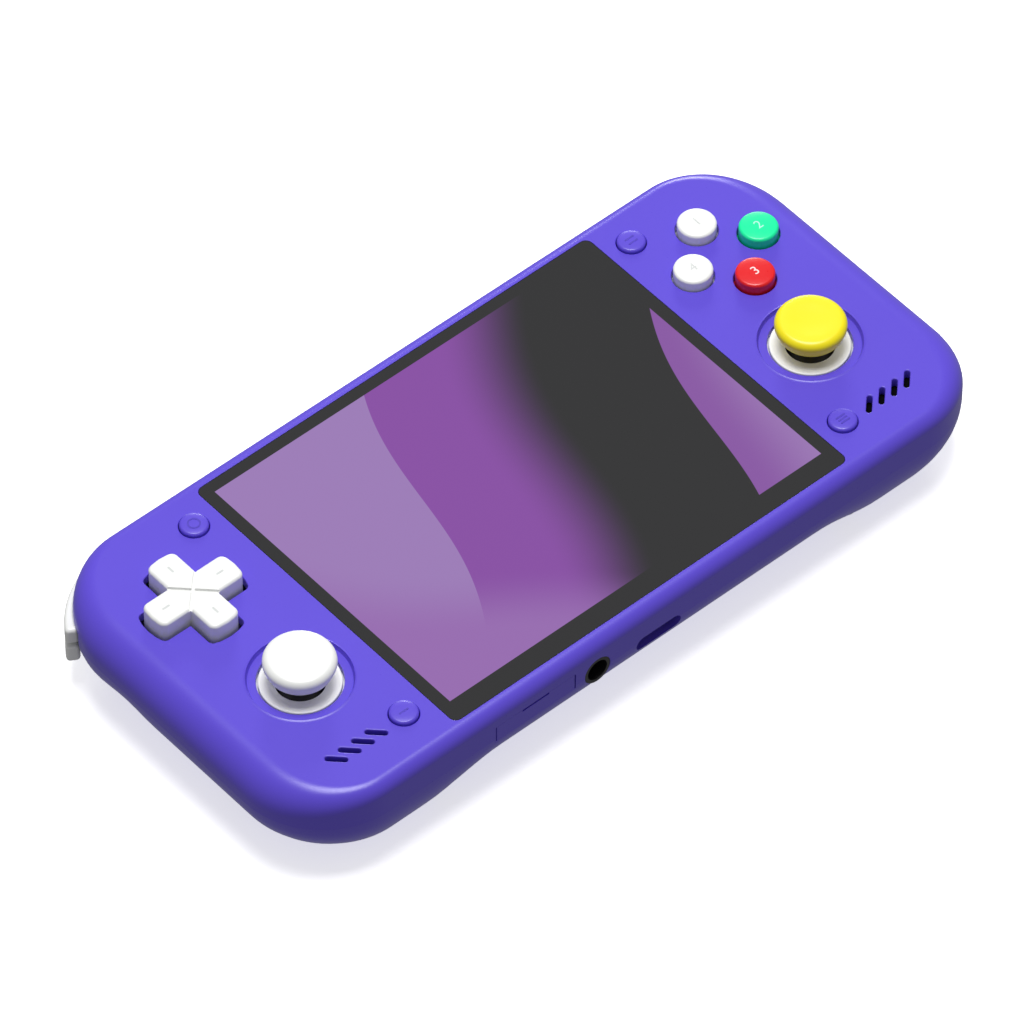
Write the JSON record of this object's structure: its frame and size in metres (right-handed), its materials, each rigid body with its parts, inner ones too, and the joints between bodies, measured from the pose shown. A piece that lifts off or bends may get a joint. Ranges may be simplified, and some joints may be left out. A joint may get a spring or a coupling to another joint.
{
  "type": "handheld game console",
  "caption": "Handheld game console: a rounded purple case with a wide screen between a direction pad and thumb stick and a diamond of buttons with its own stick, plus shoulder keys.",
  "frame": {"origin": "below the middle of the case, on the plane that the grips rest on", "axes": "+X to the right of the face, +Y to its top edge with the shoulder keys, +Z out of the screen"},
  "size_m": [0.1316, 0.0623, 0.0213],
  "materials": {
    "case_plastic": "satin moulded purple ABS",
    "white_plastic": "smooth white",
    "green_plastic": "smooth green",
    "red_plastic": "smooth red",
    "yellow_plastic": "smooth yellow",
    "black_plastic": "moulded black",
    "cover_glass": "polished",
    "display": "smooth",
    "adhesive": "matt tape",
    "silicone": "moulded silicone",
    "steel": "bright",
    "circuit_board": "solder mask",
    "ribbon": "polyimide film",
    "graphite": "graphite film",
    "battery_pouch": "wrapped pouch"
  },
  "bodies": {
    "case": {"front_shell": "case_plastic", "rear_shell": "case_plastic", "screen_glass": "cover_glass", "glass_tape": "adhesive", "display_panel": "display", "display_ribbon": "ribbon", "dpad_membrane": "silicone", "face_button_membrane": "silicone", "menu_switches": "steel", "left_shoulder_pin": "steel", "right_shoulder_pin": "steel", "shoulder_switches": "steel", "volume_pin": "steel", "edge_switches": "steel", "card_reader": "steel", "usb_port": "steel", "headphone_jack": "black_plastic", "main_board": "circuit_board", "shield_can": "steel", "heat_spreader": "graphite", "battery": "battery_pouch", "left_speaker": "black_plastic", "right_speaker": "black_plastic", "case_screws": "steel", "left_stick_housing": "steel", "left_stick_ring": "white_plastic", "right_stick_housing": "steel", "right_stick_ring": "white_plastic"},
    "dpad_pivot": {"dpad_pivot": "steel"},
    "dpad": {"dpad": "white_plastic"},
    "face_button_top": {"face_button_top": "white_plastic"},
    "face_button_left": {"face_button_left": "white_plastic"},
    "face_button_right": {"face_button_right": "green_plastic"},
    "face_button_bottom": {"face_button_bottom": "red_plastic"},
    "menu_button_upper_left": {"menu_button_upper_left": "case_plastic"},
    "menu_button_upper_right": {"menu_button_upper_right": "case_plastic"},
    "menu_button_lower_left": {"menu_button_lower_left": "case_plastic"},
    "menu_button_lower_right": {"menu_button_lower_right": "case_plastic"},
    "left_stick_carriage": {"left_stick_carriage": "black_plastic"},
    "left_stick_yoke": {"left_stick_yoke": "steel"},
    "left_stick": {"left_stick_shaft": "black_plastic", "left_stick_cap": "white_plastic"},
    "right_stick_carriage": {"right_stick_carriage": "black_plastic"},
    "right_stick_yoke": {"right_stick_yoke": "steel"},
    "right_stick": {"right_stick_shaft": "black_plastic", "right_stick_cap": "yellow_plastic"},
    "left_bumper": {"left_bumper": "white_plastic"},
    "left_trigger": {"left_trigger": "white_plastic"},
    "right_bumper": {"right_bumper": "white_plastic"},
    "right_trigger": {"right_trigger": "white_plastic"},
    "power_key": {"power_key": "case_plastic"},
    "volume_rocker": {"volume_rocker": "case_plastic"},
    "card_cover": {"card_cover": "case_plastic"}
  },
  "joints": [
    {"name": "dpad_tilt_up_down", "type": "hinge", "parent": "case", "child": "dpad_pivot", "pos_m": [-0.0507, 0.0127, 0.0129], "axis": [1, 0, 0], "range_deg": [-3.5, 3.5], "stiffness_Nm_per_rad": 0.1, "deforming": ["dpad_membrane"]},
    {"name": "dpad_tilt_left_right", "type": "hinge", "parent": "dpad_pivot", "child": "dpad", "pos_m": [-0.0507, 0.0127, 0.0129], "axis": [0, 1, 0], "range_deg": [-3.5, 3.5], "stiffness_Nm_per_rad": 0.1, "deforming": ["dpad_membrane"]},
    {"name": "face_button_top_press", "type": "slide", "parent": "case", "child": "face_button_top", "axis": [0, 0, -1], "range_m": [0, 0.001], "stiffness_N_per_m": 600, "deforming": ["face_button_membrane"]},
    {"name": "face_button_left_press", "type": "slide", "parent": "case", "child": "face_button_left", "axis": [0, 0, -1], "range_m": [0, 0.001], "stiffness_N_per_m": 600, "deforming": ["face_button_membrane"]},
    {"name": "face_button_right_press", "type": "slide", "parent": "case", "child": "face_button_right", "axis": [0, 0, -1], "range_m": [0, 0.001], "stiffness_N_per_m": 600, "deforming": ["face_button_membrane"]},
    {"name": "face_button_bottom_press", "type": "slide", "parent": "case", "child": "face_button_bottom", "axis": [0, 0, -1], "range_m": [0, 0.001], "stiffness_N_per_m": 600, "deforming": ["face_button_membrane"]},
    {"name": "menu_button_upper_left_press", "type": "slide", "parent": "case", "child": "menu_button_upper_left", "axis": [0, 0, -1], "range_m": [0, 0.00025], "stiffness_N_per_m": 4000},
    {"name": "menu_button_upper_right_press", "type": "slide", "parent": "case", "child": "menu_button_upper_right", "axis": [0, 0, -1], "range_m": [0, 0.00025], "stiffness_N_per_m": 4000},
    {"name": "menu_button_lower_left_press", "type": "slide", "parent": "case", "child": "menu_button_lower_left", "axis": [0, 0, -1], "range_m": [0, 0.00025], "stiffness_N_per_m": 4000},
    {"name": "menu_button_lower_right_press", "type": "slide", "parent": "case", "child": "menu_button_lower_right", "axis": [0, 0, -1], "range_m": [0, 0.00025], "stiffness_N_per_m": 4000},
    {"name": "left_stick_press", "type": "slide", "parent": "case", "child": "left_stick_carriage", "axis": [0, 0, -1], "range_m": [0, 0.00035], "stiffness_N_per_m": 8000},
    {"name": "left_stick_tilt_up_down", "type": "hinge", "parent": "left_stick_carriage", "child": "left_stick_yoke", "pos_m": [-0.0484, -0.008, 0.0113], "axis": [1, 0, 0], "range_deg": [-13, 13], "stiffness_Nm_per_rad": 0.02},
    {"name": "left_stick_tilt_left_right", "type": "hinge", "parent": "left_stick_yoke", "child": "left_stick", "pos_m": [-0.0484, -0.008, 0.0113], "axis": [0, 1, 0], "range_deg": [-13, 13], "stiffness_Nm_per_rad": 0.02},
    {"name": "right_stick_press", "type": "slide", "parent": "case", "child": "right_stick_carriage", "axis": [0, 0, -1], "range_m": [0, 0.00035], "stiffness_N_per_m": 8000},
    {"name": "right_stick_tilt_up_down", "type": "hinge", "parent": "right_stick_carriage", "child": "right_stick_yoke", "pos_m": [0.0484, -0.008, 0.0113], "axis": [1, 0, 0], "range_deg": [-13, 13], "stiffness_Nm_per_rad": 0.02},
    {"name": "right_stick_tilt_left_right", "type": "hinge", "parent": "right_stick_yoke", "child": "right_stick", "pos_m": [0.0484, -0.008, 0.0113], "axis": [0, 1, 0], "range_deg": [-13, 13], "stiffness_Nm_per_rad": 0.02},
    {"name": "left_bumper_press", "type": "hinge", "parent": "case", "child": "left_bumper", "pos_m": [-0.0467, 0.0269, 0.0115], "axis": [0, 0, 1], "range_deg": [0, 2.5], "stiffness_Nm_per_rad": 0.5},
    {"name": "left_trigger_pull", "type": "hinge", "parent": "case", "child": "left_trigger", "pos_m": [-0.0467, 0.0269, 0.0115], "axis": [0, 0, 1], "range_deg": [0, 4], "stiffness_Nm_per_rad": 0.3},
    {"name": "right_bumper_press", "type": "hinge", "parent": "case", "child": "right_bumper", "pos_m": [0.0467, 0.0269, 0.0115], "axis": [0, 0, -1], "range_deg": [0, 2.5], "stiffness_Nm_per_rad": 0.5},
    {"name": "right_trigger_pull", "type": "hinge", "parent": "case", "child": "right_trigger", "pos_m": [0.0467, 0.0269, 0.0115], "axis": [0, 0, -1], "range_deg": [0, 4], "stiffness_Nm_per_rad": 0.3},
    {"name": "power_key_press", "type": "slide", "parent": "case", "child": "power_key", "axis": [0, -1, 0], "range_m": [0, 0.00025], "stiffness_N_per_m": 4000},
    {"name": "volume_rocker_rock", "type": "hinge", "parent": "case", "child": "volume_rocker", "pos_m": [0.004, 0.02635, 0.0118], "axis": [0, 0, 1], "range_deg": [-1.5, 1.5], "stiffness_Nm_per_rad": 0.3},
    {"name": "card_cover_open", "type": "hinge", "parent": "case", "child": "card_cover", "pos_m": [-0.0242, -0.0303, 0.0105], "axis": [1, 0, 0], "range_deg": [0, 90]}
  ]
}
